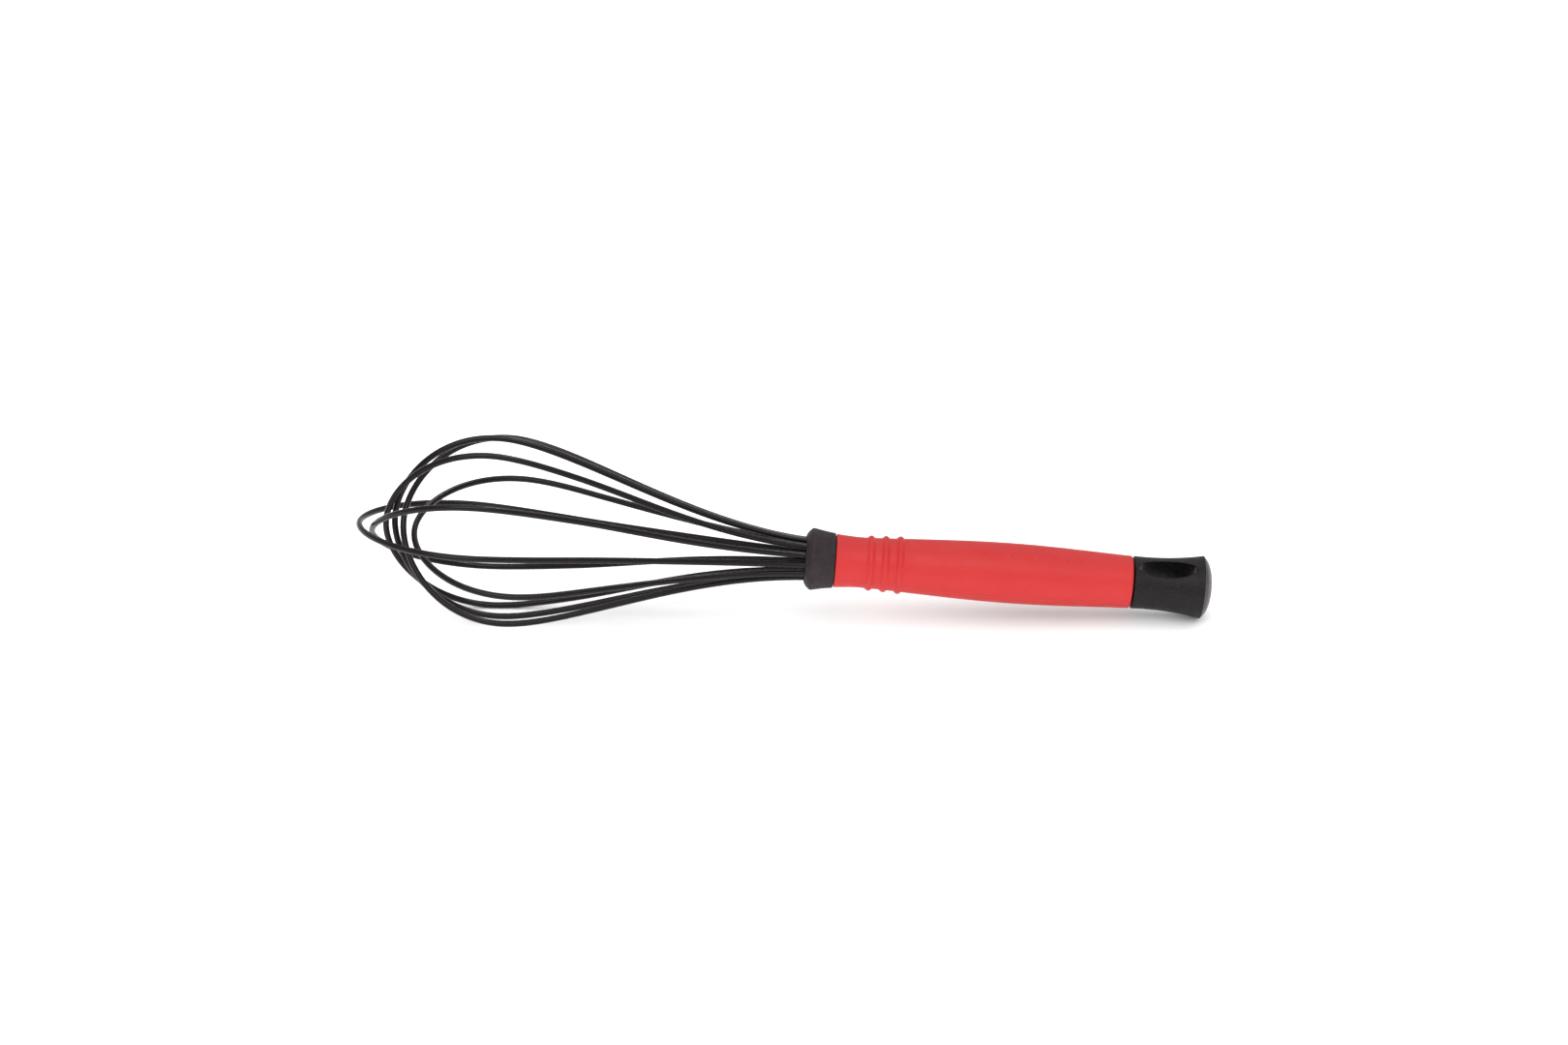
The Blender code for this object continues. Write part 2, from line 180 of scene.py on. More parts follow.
DOME_STEPS = 28
RIM_FIRST_HANDLE = (CAP_RIM_STATION + 0.16 * MM, CAP_RIM_RADIUS + 0.02 * MM)
RIM_LAST_HANDLE = (CAP_RIM_STATION + 0.25 * MM, CAP_RIM_RADIUS - 0.12 * MM)
RIM_STEPS = 6
RIM_GRAINED_STEPS = 2
SPIGOT_FRONT = 104 * MM
SPIGOT_RADIUS = 5.6 * MM
SPIGOT_EDGE = 0.5 * MM
SLOT_STATION = 126.4 * MM
SLOT_HALF_LENGTH = 10.2 * MM
SLOT_HALF_WIDTH = 3.6 * MM
SLOT_LIP = 0.3 * MM
SLOT_SIDES = 24
CAP_COLUMNS = 96
CAP_ROWS = 44
WINDOW_COLUMNS = 10
WINDOW_STEPS = 8
LIP_STEPS = 6
LIP_GRAINED_STEPS = 3
SLOT_WALL_STEPS = 12

# The seat of a hook is the middle of a facet of the slot's solid, at its end towards the dome
SEAT_STATION = SLOT_STATION + SLOT_HALF_LENGTH * math.cos(math.pi / SLOT_SIDES)

ROLL = math.radians(27)
UP = Vector((0, math.sin(ROLL), math.cos(ROLL)))
TO_FRONT = Vector((0, -math.cos(ROLL), math.sin(ROLL)))


def whisk_axes():
    """The matrix from the whisk's own axes to the frame's, from the hook's seat in the record."""
    seat = next(mount for mount in frame["record"]["mounts"] if mount["name"] == "hook_seat")
    along = -Vector(seat["axis"]).normalized()
    nose = Vector(seat["pos_m"]) - SEAT_STATION * along
    pitch = math.atan2(-along.z, along.x)
    turn = Matrix.Rotation(pitch, 4, "Y") @ Matrix.Rotation(ROLL, 4, "X")
    return Matrix.Translation(nose) @ turn


WHISK = whisk_axes()


# ---------------------------------------------------------------- shapes


def smooth_step(value):
    value = min(max(value, 0.0), 1.0)
    return value * value * (3 - 2 * value)


def direction(degrees):
    """The unit vector across the axis at an angle from the slot's direction."""
    turn = math.radians(degrees)
    return Vector((0, math.sin(turn), math.cos(turn)))


def around(station, radius, angle):
    """A point of a turned piece. The angle is in radians from the slot's direction."""
    return Vector((station, radius * math.sin(angle), radius * math.cos(angle)))


def even_angles(count):
    return [2 * math.pi * number / count for number in range(count)]


def curve_steps(start, start_handle, end_handle, end, steps):
    """Points of one Bezier span, as (station, radius), with both ends."""
    knots = [Vector(knot) for knot in (start, start_handle, end_handle, end)]
    return [tuple(point) for point in interpolate_bezier(*knots, steps + 1)]


def rounded(before, corner, after, size, steps=6):
    """The corner of an outline, cut back by a size on both sides and joined by a curve."""
    corner = Vector(corner)
    start = corner + size * (Vector(before) - corner).normalized()
    end = corner + size * (Vector(after) - corner).normalized()
    first_handle = start.lerp(corner, 0.55)
    last_handle = end.lerp(corner, 0.55)
    return curve_steps(start, first_handle, last_handle, end, steps)


def radius_at(profile, station):
    """The radius of a profile at a station. Past either end it stays what it is there."""
    for before, after in zip(profile, profile[1:]):
        if station <= after[0]:
            share = (station - before[0]) / (after[0] - before[0])
            return before[1] + max(share, 0) * (after[1] - before[1])
    return profile[-1][1]


class Shell:
    """Patches of faces, gathered one by one and welded into one closed mesh."""

    def __init__(self):
        self.points = []
        self.faces = []
        self.finishes = []

    def add_strip(self, rows, finish=0, wrap=True):
        """Quads between neighbouring rows of points. Each row closes on itself if it wraps."""
        first = len(self.points)
        width = len(rows[0])
        for row in rows:
            self.points.extend(row)
        for number in range(len(rows) - 1):
            for place in range(width if wrap else width - 1):
                here = first + number * width
                step = (place + 1) % width
                self.faces.append((here + place, here + step, here + width + step, here + width + place))
                self.finishes.append(finish)

    def add_fan(self, ring, finish=0):
        """Triangles from a ring of points to its middle."""
        first = len(self.points)
        self.points.extend(ring)
        self.points.append(sum(ring, Vector()) / len(ring))
        for place in range(len(ring)):
            self.faces.append((first + place, first + (place + 1) % len(ring), first + len(ring)))
            self.finishes.append(finish)

    def build(self, name, materials, replaced, sharp_angle=35):
        mesh = bpy.data.meshes.new(name)
        mesh.from_pydata([WHISK @ point for point in self.points], [], self.faces)
        for material in materials:
            mesh.materials.append(material)
        mesh.polygons.foreach_set("material_index", self.finishes)
        shape = bmesh.new()
        shape.from_mesh(mesh)
        bmesh.ops.remove_doubles(shape, verts=shape.verts, dist=0.001 * MM)
        bmesh.ops.recalc_face_normals(shape, faces=shape.faces)
        shape.to_mesh(mesh)
        shape.free()
        mesh.shade_smooth()
        mesh.set_sharp_from_angle(angle=math.radians(sharp_angle))
        piece = bpy.data.objects.new(name, mesh)
        bpy.context.scene.collection.objects.link(piece)
        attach(piece, BODY)
        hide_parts(replaced)
        return piece


def turned_rows(outline, angles):
    return [[around(station, radius, angle) for angle in angles] for station, radius in outline]


# ---------------------------------------------------------------- wires


def half_outline(loop):
    """(distance in front of the collar, radius) along one strand, from the collar to the loop's tip."""
    belly_at = BELLY_STATION + BELLY_SHIFT_WITH_REACH * (loop.reach - BELLY_STATION_REACH)
    start = Vector((0, STRAND_PITCH_RADIUS))
    belly = Vector((belly_at, loop.belly))
    shoulder = SHOULDER_HANDLE_SHARE * (loop.reach - belly_at)
    neck_handle = start + NECK_HANDLE
    belly_handle = belly - Vector((BELLY_HANDLE, 0))
    shoulder_handle = belly + Vector((shoulder, 0))
    tip_handle = (loop.reach, TIP_HANDLE_SHARE * loop.belly)
    neck = curve_steps(start, neck_handle, belly_handle, belly, NECK_STEPS)
    tip = curve_steps(belly, shoulder_handle, tip_handle, (loop.reach, 0), TIP_STEPS)
    return neck + tip[1:]


def cage_point(loop, distance, radius):
    """A point of the loop. A negative radius is on the strand of the opposite side."""
    across = direction(loop.plane + loop.twist * smooth_step(distance / TWIST_LENGTH))
    flex = distance * distance / (distance + FLEX_LENGTH)
    flexed = flex * (loop.lift * UP + loop.drift * TO_FRONT)
    return Vector((-distance, 0, 0)) + radius * across + flexed


def loop_line(loop, tail):
    """The centre line from inside the handle round the loop and back in.

    The tail is the part inside the handle, as (station, radius), from the collar's front backwards.
    """
    across = direction(loop.plane)
    outline = half_outline(loop)
    first = [Vector((station, 0, 0)) + radius * across for station, radius in reversed(tail)]
    there = [cage_point(loop, distance, radius) for distance, radius in outline]
    back = [cage_point(loop, distance, -radius) for distance, radius in reversed(outline[:-1])]
    last = [Vector((station, 0, 0)) - radius * across for station, radius in tail]
    return first + there + back + last


def tube_rings(line, loop, radius, sides):
    """A circle of points round every point of a loop's centre line, square to the line."""
    plane_normal = direction(loop.plane + 90)
    rings = []
    for number, centre in enumerate(line):
        ahead = line[min(number + 1, len(line) - 1)]
        behind = line[max(number - 1, 0)]
        tangent = (ahead - behind).normalized()
        outward = tangent.cross(plane_normal).normalized()
        sideways = outward.cross(tangent)
        ring = [
            centre + radius * (math.cos(angle) * outward + math.sin(angle) * sideways)
            for angle in even_angles(sides)
        ]
        rings.append(ring)
    return rings


def build_sleeve(number, loop, material):
    """The silicone sleeve of one wire: a tube with an open bore at both ends."""
    line = loop_line(loop, [(COATING_END / 2, STRAND_PITCH_RADIUS), (COATING_END, STRAND_PITCH_RADIUS)])
    outside = tube_rings(line, loop, STRAND_RADIUS, SLEEVE_SIDES)
    bore = tube_rings(line, loop, SLEEVE_BORE_RADIUS, SLEEVE_SIDES)
    shell = Shell()
    shell.add_strip(outside)
    shell.add_strip(bore)
    shell.add_strip([outside[0], bore[0]])
    shell.add_strip([outside[-1], bore[-1]])
    return shell.build(f"wire_sleeve_{number}", [material], f"wire_coating_{number}")


def build_core(number, loop, material):
    """The steel of one wire, bent inwards behind the plug and straight in the potting."""
    bend_handle = (CORE_BEND_END - CORE_BEND_START) / 2
    tail = [(CORE_BEND_START / 2, STRAND_PITCH_RADIUS)]
    tail += curve_steps(
        (CORE_BEND_START, STRAND_PITCH_RADIUS),
        (CORE_BEND_START + bend_handle, STRAND_PITCH_RADIUS),
        (CORE_BEND_END - bend_handle, CORE_PITCH_RADIUS),
        (CORE_BEND_END, CORE_PITCH_RADIUS),
        TAIL_STEPS,
    )
    tail.append((CORE_END, CORE_PITCH_RADIUS))
    rings = tube_rings(loop_line(loop, tail), loop, CORE_RADIUS, CORE_SIDES)
    shell = Shell()
    shell.add_strip(rings)
    shell.add_fan(rings[0])
    shell.add_fan(rings[-1])
    shell.build(f"steel_core_{number}", [material], f"wire_core_{number}")


# ---------------------------------------------------------------- collar


def build_collar(material):
    """The rubber ferrule: a rounded mouth, a domed nose up to the rim, and a taper down to the grip."""
    rim = (COLLAR_RIM_STATION, COLLAR_RIM_RADIUS)
    end = (COLLAR_END, COLLAR_END_RADIUS)
    mouth = (0, COLLAR_MOUTH_RADIUS + COLLAR_LIP)
    nose = curve_steps(rim, COLLAR_NOSE_HANDLE, COLLAR_MOUTH_HANDLE, mouth, COLLAR_NOSE_STEPS)
    side = curve_steps(end, COLLAR_END_HANDLE, COLLAR_SIDE_HANDLE, rim, COLLAR_SIDE_STEPS)
    lip_corner = (0, COLLAR_MOUTH_RADIUS)
    inner_edge = (COLLAR_STEP, COLLAR_MOUTH_RADIUS)
    # The rounded corners take the place of the nearest points of the curves that they join
    outline = [
        *rounded((COLLAR_END, COLLAR_BORE_RADIUS), end, side[3], COLLAR_EDGE),
        *side[2:-3],
        *rounded(side[-4], rim, nose[4], COLLAR_RIM_EDGE, 10),
        *nose[4:],
        *rounded(mouth, lip_corner, inner_edge, 0.9 * COLLAR_LIP),
        inner_edge,
        (COLLAR_STEP, COLLAR_BORE_RADIUS),
        (COLLAR_END, COLLAR_BORE_RADIUS),
    ]
    rows = turned_rows(outline, even_angles(COLLAR_COLUMNS))
    shell = Shell()
    shell.add_strip(rows + rows[:1])
    shell.build("rubber_collar", [material], "collar")


# ---------------------------------------------------------------- grip


def grip_profile():
    """(station, radius) of the grip's side without its relief, from the front to the back."""
    front = (GRIP_FRONT, GRIP_FRONT_RADIUS)
    waist = (GRIP_WAIST_STATION, GRIP_WAIST_RADIUS)
    belly = (GRIP_BELLY_STATION, GRIP_BELLY_RADIUS)
    back = (GRIP_BACK, GRIP_BACK_RADIUS)
    flare = curve_steps(front, GRIP_FLARE_HANDLE, GRIP_WAIST_FRONT_HANDLE, waist, GRIP_FLARE_STEPS)
    rise = curve_steps(waist, GRIP_WAIST_BACK_HANDLE, GRIP_BELLY_FRONT_HANDLE, belly, GRIP_SIDE_STEPS)
    fall = curve_steps(belly, GRIP_BELLY_BACK_HANDLE, GRIP_BACK_HANDLE, back, GRIP_SIDE_STEPS)
    return flare + rise[1:] + fall[1:]


GRIP_PROFILE = grip_profile()


def ridge_relief(station):
    """The finger ridges: round beads with a small fillet at the foot."""
    height = 0.0
    for crest in RIDGE_STATIONS:
        share = (station - crest) / RIDGE_HALF_WIDTH
        bead = 1 - share * share
        height = max(height, (bead + math.sqrt(bead * bead + RIDGE_FILLET)) / 2)
    return RIDGE_HEIGHT * height


def lozenge_relief(station, arc):
    """A row of flat-topped raised lozenges along the side that the slot faces."""
    number = round((station - LOZENGE_FIRST) / LOZENGE_SPACING)
    number = min(max(number, 0), LOZENGE_COUNT - 1)
    lengthwise = (station - LOZENGE_FIRST - number * LOZENGE_SPACING) / LOZENGE_HALF_LENGTH
    crosswise = arc / LOZENGE_HALF_WIDTH
    edge = math.hypot(abs(lengthwise) + abs(crosswise), LOZENGE_CORNER)
    return LOZENGE_HEIGHT * smooth_step((LOZENGE_FOOT - edge) / LOZENGE_SLOPE)


def parting_relief(angle, radius):
    """The fine line that the mould leaves on both sides, square to the slot's direction."""
    off_line = abs(abs(angle) - math.pi / 2) * radius / PARTING_HALF_WIDTH
    return PARTING_HEIGHT * math.exp(-off_line * off_line)


def spaced(first, last, step):
    """Values from the first up to, but not with, the last, about a step apart."""
    count = max(round((last - first) / step), 1)
    return [first + (last - first) * number / count for number in range(count)]


def grip_stations():
    """Stations along the grip, close together where it has relief."""
    ridges_start = RIDGE_STATIONS[0] - RIDGE_REACH
    ridges_end = RIDGE_STATIONS[-1] + RIDGE_REACH
    lozenges_start = LOZENGE_FIRST - LOZENGE_REACH
    lozenges_end = LOZENGE_FIRST + (LOZENGE_COUNT - 1) * LOZENGE_SPACING + LOZENGE_REACH
    first = GRIP_FRONT + GRIP_FRONT_EDGE
    last = GRIP_BACK - GRIP_BACK_EDGE
    stations = spaced(first, ridges_start, FLARE_SPACING)
    stations += spaced(ridges_start, ridges_end, RIDGE_SPACING)
    stations += spaced(ridges_end, lozenges_start, PLAIN_SPACING)
    stations += spaced(lozenges_start, lozenges_end, LOZENGE_ROW_SPACING)
    stations += spaced(lozenges_end, last, PLAIN_SPACING)
    return stations + [last]


def grip_angles():
    """Angles round the grip, close together at the lozenges and at the two parting lines."""
    lozenge_edge = 1.15 * LOZENGE_HALF_WIDTH / GRIP_BELLY_RADIUS
    quarter = math.pi / 2
    half = spaced(0, lozenge_edge, LOZENGE_TURN)
    half += spaced(lozenge_edge, quarter - PARTING_REACH, PLAIN_TURN)
    half += spaced(quarter - PARTING_REACH, quarter + PARTING_REACH, PARTING_TURN)
    half += spaced(quarter + PARTING_REACH, math.pi, PLAIN_TURN)
    return half + [math.pi] + [-angle for angle in reversed(half[1:])]


def build_grip(material):
    """The silicone sleeve: a spindle with finger ridges, a row of lozenges and rounded ends."""
    angles = grip_angles()

    def relief_radius(station, angle):
        radius = radius_at(GRIP_PROFILE, station)
        raised = ridge_relief(station) + lozenge_relief(station, angle * radius)
        return radius + raised + parting_relief(angle, radius)

    def end_rows(end, edge, inward):
        """Rows round the edge of an end face, from the side to the face."""
        rows = []
        for step in range(1, GRIP_EDGE_STEPS + 1):
            turn = step / GRIP_EDGE_STEPS * math.pi / 2
            station = end + inward * edge * (1 - math.sin(turn))
            inset = edge * (1 - math.cos(turn))
            row = [around(station, relief_radius(station, angle) - inset, angle) for angle in angles]
            rows.append(row)
        return rows

    front_rows = end_rows(GRIP_FRONT, GRIP_FRONT_EDGE, 1)
    back_rows = end_rows(GRIP_BACK, GRIP_BACK_EDGE, -1)
    side_rows = [
        [around(station, relief_radius(station, angle), angle) for angle in angles]
        for station in grip_stations()
    ]
    bore = turned_rows([(GRIP_BACK, GRIP_BORE_RADIUS), (GRIP_FRONT, GRIP_BORE_RADIUS)], angles)
    rows = front_rows[::-1] + side_rows + back_rows + bore
    shell = Shell()
    shell.add_strip(rows + rows[:1])
    shell.build("grip_skin", [material], "grip_sleeve", 50)


# ---------------------------------------------------------------- end cap


# Places of the cap's materials in its list: the grained one, with its painted glints, comes first
SMOOTH = 1
# The dome's material is painted lighter than the side's: a painted sheen
SATIN_PAINTED_SHEEN = 2


def cap_profile():
    """(station, radius) of the cap's waisted side, from its front edge to its rim."""
    front = (CAP_FRONT + CAP_FRONT_EDGE, CAP_FRONT_RADIUS)
    rim = (CAP_RIM_STATION, CAP_RIM_RADIUS)
    return curve_steps(front, CAP_FRONT_HANDLE, CAP_RIM_HANDLE, rim, CAP_SIDE_STEPS)


CAP_PROFILE = cap_profile()


def cap_radius(station):
    return radius_at(CAP_PROFILE, station)


def cap_side_point(station, angle):
    return around(station, cap_radius(station), angle)


def slot_outline_point(turn, grow):
    """(station, width) on the slot's oval, grown by a distance."""
    station = SLOT_STATION + (SLOT_HALF_LENGTH + grow) * math.cos(turn)
    width = (SLOT_HALF_WIDTH + grow) * math.sin(turn)
    return station, width


def window_edge(stations, window_angle):
    """(station, angle) round the window that a slot's mouth sits in, once round."""
    columns = range(-WINDOW_COLUMNS, WINDOW_COLUMNS + 1)
    angles = [window_angle * column / WINDOW_COLUMNS for column in columns]
    edge = [(station, -window_angle) for station in stations[:-1]]
    edge += [(stations[-1], angle) for angle in angles[:-1]]
    edge += [(station, window_angle) for station in reversed(stations[1:])]
    edge += [(stations[0], angle) for angle in reversed(angles[1:])]
    return edge


def slot_mouth_rows(edge, facing):
    """Rows of points from a window's edge to the slot's lip, and from there over the lip to its wall.

    facing is 1 for the mouth on the +Z side and -1 for the other. The last row is on the wall.
    """
    reach = CAP_RIM_STATION - SLOT_STATION
    window_angle = max(angle for _, angle in edge)
    turns = [
        math.atan2(angle / window_angle, (station - SLOT_STATION) / reach)
        for station, angle in edge
    ]

    def on_side(station, angle):
        point = cap_side_point(station, angle)
        return Vector((point.x, point.y, facing * point.z))

    lip_edge = []
    for turn in turns:
        station, width = slot_outline_point(turn, SLOT_LIP)
        lip_edge.append((station, math.asin(width / cap_radius(station))))
    rows = []
    for step in range(WINDOW_STEPS + 1):
        share = step / WINDOW_STEPS
        places = [Vector(outer).lerp(Vector(inner), share) for outer, inner in zip(edge, lip_edge)]
        rows.append([on_side(station, angle) for station, angle in places])

    lip_rows = []
    for step in range(1, LIP_STEPS + 1):
        share = step / LIP_STEPS
        row = []
        for turn, start in zip(turns, rows[-1]):
            station, width = slot_outline_point(turn, 0)
            height = math.sqrt(cap_radius(station) ** 2 - width ** 2)
            corner = Vector((station, width, facing * height))
            end = Vector((station, width, facing * (height - SLOT_LIP)))
            row.append(start.lerp(corner, share).lerp(corner.lerp(end, share), share))
        lip_rows.append(row)
    return rows, [rows[-1]] + lip_rows


def build_end_cap(grained, smooth, satin_sheen):
    """The waisted cap: a grained side with painted glints and a crisp rim, a smoother dome painted
    lighter as a painted sheen, and a smooth slot through it.
    """
    angles = even_angles(CAP_COLUMNS)
    window_angle = angles[WINDOW_COLUMNS]
    front = CAP_FRONT + CAP_FRONT_EDGE
    stations = spaced(front, CAP_RIM_STATION, (CAP_RIM_STATION - front) / CAP_ROWS) + [CAP_RIM_STATION]
    shell = Shell()

    between = angles[WINDOW_COLUMNS:CAP_COLUMNS // 2 - WINDOW_COLUMNS + 1]
    for side in (1, -1):
        rows = [[cap_side_point(station, side * angle) for angle in between] for station in stations]
        shell.add_strip(rows, wrap=False)

    edge = window_edge(stations, window_angle)
    walls = []
    for facing in (1, -1):
        patch, lip = slot_mouth_rows(edge, facing)
        shell.add_strip(patch)
        shell.add_strip(lip[:LIP_GRAINED_STEPS + 1])
        shell.add_strip(lip[LIP_GRAINED_STEPS:], finish=SMOOTH)
        walls.append(lip[-1])
    wall_rows = [
        [top.lerp(bottom, step / SLOT_WALL_STEPS) for top, bottom in zip(*walls)]
        for step in range(SLOT_WALL_STEPS + 1)
    ]
    shell.add_strip(wall_rows, finish=SMOOTH)

    rim = (CAP_RIM_STATION, CAP_RIM_RADIUS)
    dome_middle = (CAP_END, DOME_MIDDLE_RADIUS)
    rim_bend = curve_steps(rim, RIM_FIRST_HANDLE, RIM_LAST_HANDLE, DOME_START, RIM_STEPS)
    dome = curve_steps(DOME_START, DOME_SIDE_HANDLE, DOME_MIDDLE_HANDLE, dome_middle, DOME_STEPS)
    shell.add_strip(turned_rows(rim_bend[:RIM_GRAINED_STEPS + 1], angles))
    back_rows = turned_rows(rim_bend[RIM_GRAINED_STEPS:] + dome[1:], angles)
    shell.add_strip(back_rows, finish=SATIN_PAINTED_SHEEN)
    shell.add_fan(back_rows[-1], finish=SATIN_PAINTED_SHEEN)

    front_corner = (CAP_FRONT, CAP_FRONT_RADIUS)
    front_edge = rounded((front, CAP_FRONT_RADIUS), front_corner, (CAP_FRONT, 0), CAP_FRONT_EDGE)
    spigot_corner = (SPIGOT_FRONT, SPIGOT_RADIUS)
    spigot_edge = rounded((CAP_FRONT, SPIGOT_RADIUS), spigot_corner, (SPIGOT_FRONT, 0), SPIGOT_EDGE)
    spigot_middle = (SPIGOT_FRONT, SPIGOT_EDGE)
    front_outline = [*front_edge, (CAP_FRONT, SPIGOT_RADIUS), *spigot_edge, spigot_middle]
    front_rows = turned_rows(front_outline, angles)
    shell.add_strip(front_rows)
    shell.add_fan(front_rows[-1])
    shell.build("grained_cap", [grained, smooth, satin_sheen], "end_cap", 40)


# ---------------------------------------------------------------- materials


class Finish:
    """A Principled material with helpers for its procedural nodes. Sizes are in metres."""

    def __init__(self, name, colour, roughness, metallic=0.0, specular=0.5):
        self.material = bpy.data.materials.new(name)
        self.material.use_nodes = True
        self.material.diffuse_color = (*colour, 1)
        self.tree = self.material.node_tree
        self.shader = self.tree.nodes["Principled BSDF"]
        self.shader.inputs["Metallic"].default_value = metallic
        self.shader.inputs["Specular IOR Level"].default_value = specular
        self.colour = colour
        self.roughness = roughness
        self.places = self.tree.nodes.new("ShaderNodeTexCoord").outputs["Object"]
        self.bumped = None

    def noise(self, size, detail=3.0, stretch=None):
        """Cloudy noise with features of a size, longer along the handle if stretched."""
        node = self.tree.nodes.new("ShaderNodeTexNoise")
        node.inputs["Scale"].default_value = 1 / size
        node.inputs["Detail"].default_value = detail
        source = self.places
        if stretch:
            mapping = self.tree.nodes.new("ShaderNodeMapping")
            mapping.inputs["Scale"].default_value = (1 / stretch, 1, 1)
            self.tree.links.new(self.places, mapping.inputs["Vector"])
            source = mapping.outputs["Vector"]
        self.tree.links.new(source, node.inputs["Vector"])
        return node.outputs["Fac"]

    def cells(self, size):
        """Distance to the nearest of scattered points, a size apart."""
        node = self.tree.nodes.new("ShaderNodeTexVoronoi")
        node.inputs["Scale"].default_value = 1 / size
        self.tree.links.new(self.places, node.inputs["Vector"])
        return node.outputs["Distance"]

    def ranged(self, value, low, high, start=0.3, end=0.7):
        """The value's span from start to end, mapped to low up to high."""
        node = self.tree.nodes.new("ShaderNodeMapRange")
        node.interpolation_type = "SMOOTHSTEP"
        node.inputs["From Min"].default_value = start
        node.inputs["From Max"].default_value = end
        node.inputs["To Min"].default_value = low
        node.inputs["To Max"].default_value = high
        self.tree.links.new(value, node.inputs["Value"])
        return node.outputs["Result"]

    def vary_colour(self, value, other):
        """Blends the colour towards another one as the value goes from 0 to 1."""
        mix = self.tree.nodes.new("ShaderNodeMix")
        mix.data_type = "RGBA"
        base = self.shader.inputs["Base Color"]
        if base.is_linked:
            self.tree.links.new(base.links[0].from_socket, mix.inputs["A"])
        else:
            mix.inputs["A"].default_value = (*self.colour, 1)
        mix.inputs["B"].default_value = (*other, 1)
        self.tree.links.new(value, mix.inputs["Factor"])
        self.tree.links.new(mix.outputs["Result"], base)

    def vary_roughness(self, value, spread):
        low = self.roughness - spread
        high = self.roughness + spread
        self.tree.links.new(self.ranged(value, low, high), self.shader.inputs["Roughness"])

    def bump(self, value, height):
        """Raises the surface by a height in metres where the value is 1."""
        node = self.tree.nodes.new("ShaderNodeBump")
        node.inputs["Strength"].default_value = 1.0
        node.inputs["Distance"].default_value = height
        self.tree.links.new(value, node.inputs["Height"])
        if self.bumped:
            self.tree.links.new(self.bumped, node.inputs["Normal"])
        self.bumped = node.outputs["Normal"]
        self.tree.links.new(self.bumped, self.shader.inputs["Normal"])


def wire_silicone():
    """Satin black sleeve with faint waves and a fine skin."""
    finish = Finish("wire_silicone_look", colour=(0.0062, 0.0036, 0.0044), roughness=0.24, specular=0.24)
    finish.vary_colour(finish.ranged(finish.noise(9 * MM), 0, 1), (0.0085, 0.0052, 0.0062))
    finish.vary_roughness(finish.noise(3 * MM, 2.0), 0.05)
    finish.bump(finish.noise(2.4 * MM, 1.0), 0.003 * MM)
    finish.bump(finish.noise(0.25 * MM, 2.0), 0.0008 * MM)
    return finish.material


def grip_silicone():
    """Coral red silicone with a matt, faintly cloudy skin."""
    finish = Finish("grip_silicone_look", colour=(0.62, 0.030, 0.030), roughness=0.5, specular=0.3)
    finish.vary_colour(finish.ranged(finish.noise(14 * MM), 0, 1), (0.645, 0.035, 0.034))
    finish.vary_colour(finish.ranged(finish.noise(0.5 * MM, 4.0), 0, 0.5), (0.59, 0.026, 0.026))
    finish.vary_roughness(finish.noise(5 * MM), 0.04)
    finish.bump(finish.noise(3 * MM, 1.0), 0.012 * MM)
    finish.bump(finish.noise(0.3 * MM, 3.0), 0.006 * MM)
    return finish.material


def collar_rubber():
    """Matt black rubber, slightly mottled."""
    finish = Finish("collar_rubber_look", colour=(0.0200, 0.0122, 0.0140), roughness=0.6, specular=0.3)
    finish.vary_colour(finish.ranged(finish.noise(2.5 * MM, 4.0), 0, 1), (0.0285, 0.0185, 0.0207))
    finish.vary_roughness(finish.noise(1.5 * MM), 0.06)
    finish.bump(finish.noise(1.2 * MM, 2.0), 0.02 * MM)
    finish.bump(finish.noise(0.28 * MM, 3.0), 0.008 * MM)
    return finish.material


def cap_grain_glints():
    """Black plastic from a spark-eroded mould: small pits and grains, with painted glints: the grains'
    tops are painted lighter where they would catch the light.
    """
    finish = Finish("cap_grain_glints_look", colour=(0.0080, 0.0052, 0.0062), roughness=0.5, specular=0.22)
    grain_glints = finish.noise(0.42 * MM, 3.0)
    # Painted glints: the colour is lighter on the grains' tops, which the bump raises
    finish.vary_colour(finish.ranged(grain_glints, 0, 1, 0.5, 0.72), (0.0250, 0.0200, 0.0220))
    finish.vary_roughness(finish.noise(0.9 * MM), 0.07)
    finish.bump(grain_glints, 0.06 * MM)
    finish.bump(finish.cells(0.3 * MM), 0.015 * MM)
    return finish.material


def dome_satin_painted_sheen():
    """The cap's domed end, which is smoother than its side. Its base colour is painted lighter than the
    side's, a painted sheen for the light that the dome catches.
    """
    # Painted sheen: the base colour is lighter than the same plastic on the side
    finish = Finish("dome_satin_painted_sheen_look", colour=(0.0205, 0.0158, 0.0172), roughness=0.4, specular=0.5)
    finish.vary_colour(finish.ranged(finish.noise(3 * MM), 0, 1), (0.0270, 0.0218, 0.0235))
    finish.vary_roughness(finish.noise(1.2 * MM), 0.05)
    finish.bump(finish.noise(0.4 * MM, 2.0), 0.012 * MM)
    return finish.material


def slot_gloss():
    """The slot's wall: the same plastic from a polished core pin."""
    finish = Finish("slot_gloss_look", colour=(0.0045, 0.0035, 0.004), roughness=0.22, specular=0.4)
    finish.vary_colour(finish.ranged(finish.noise(4 * MM), 0, 1), (0.006, 0.005, 0.0055))
    finish.vary_roughness(finish.noise(2 * MM), 0.05)
    finish.bump(finish.noise(0.8 * MM, 2.0), 0.004 * MM)
    return finish.material


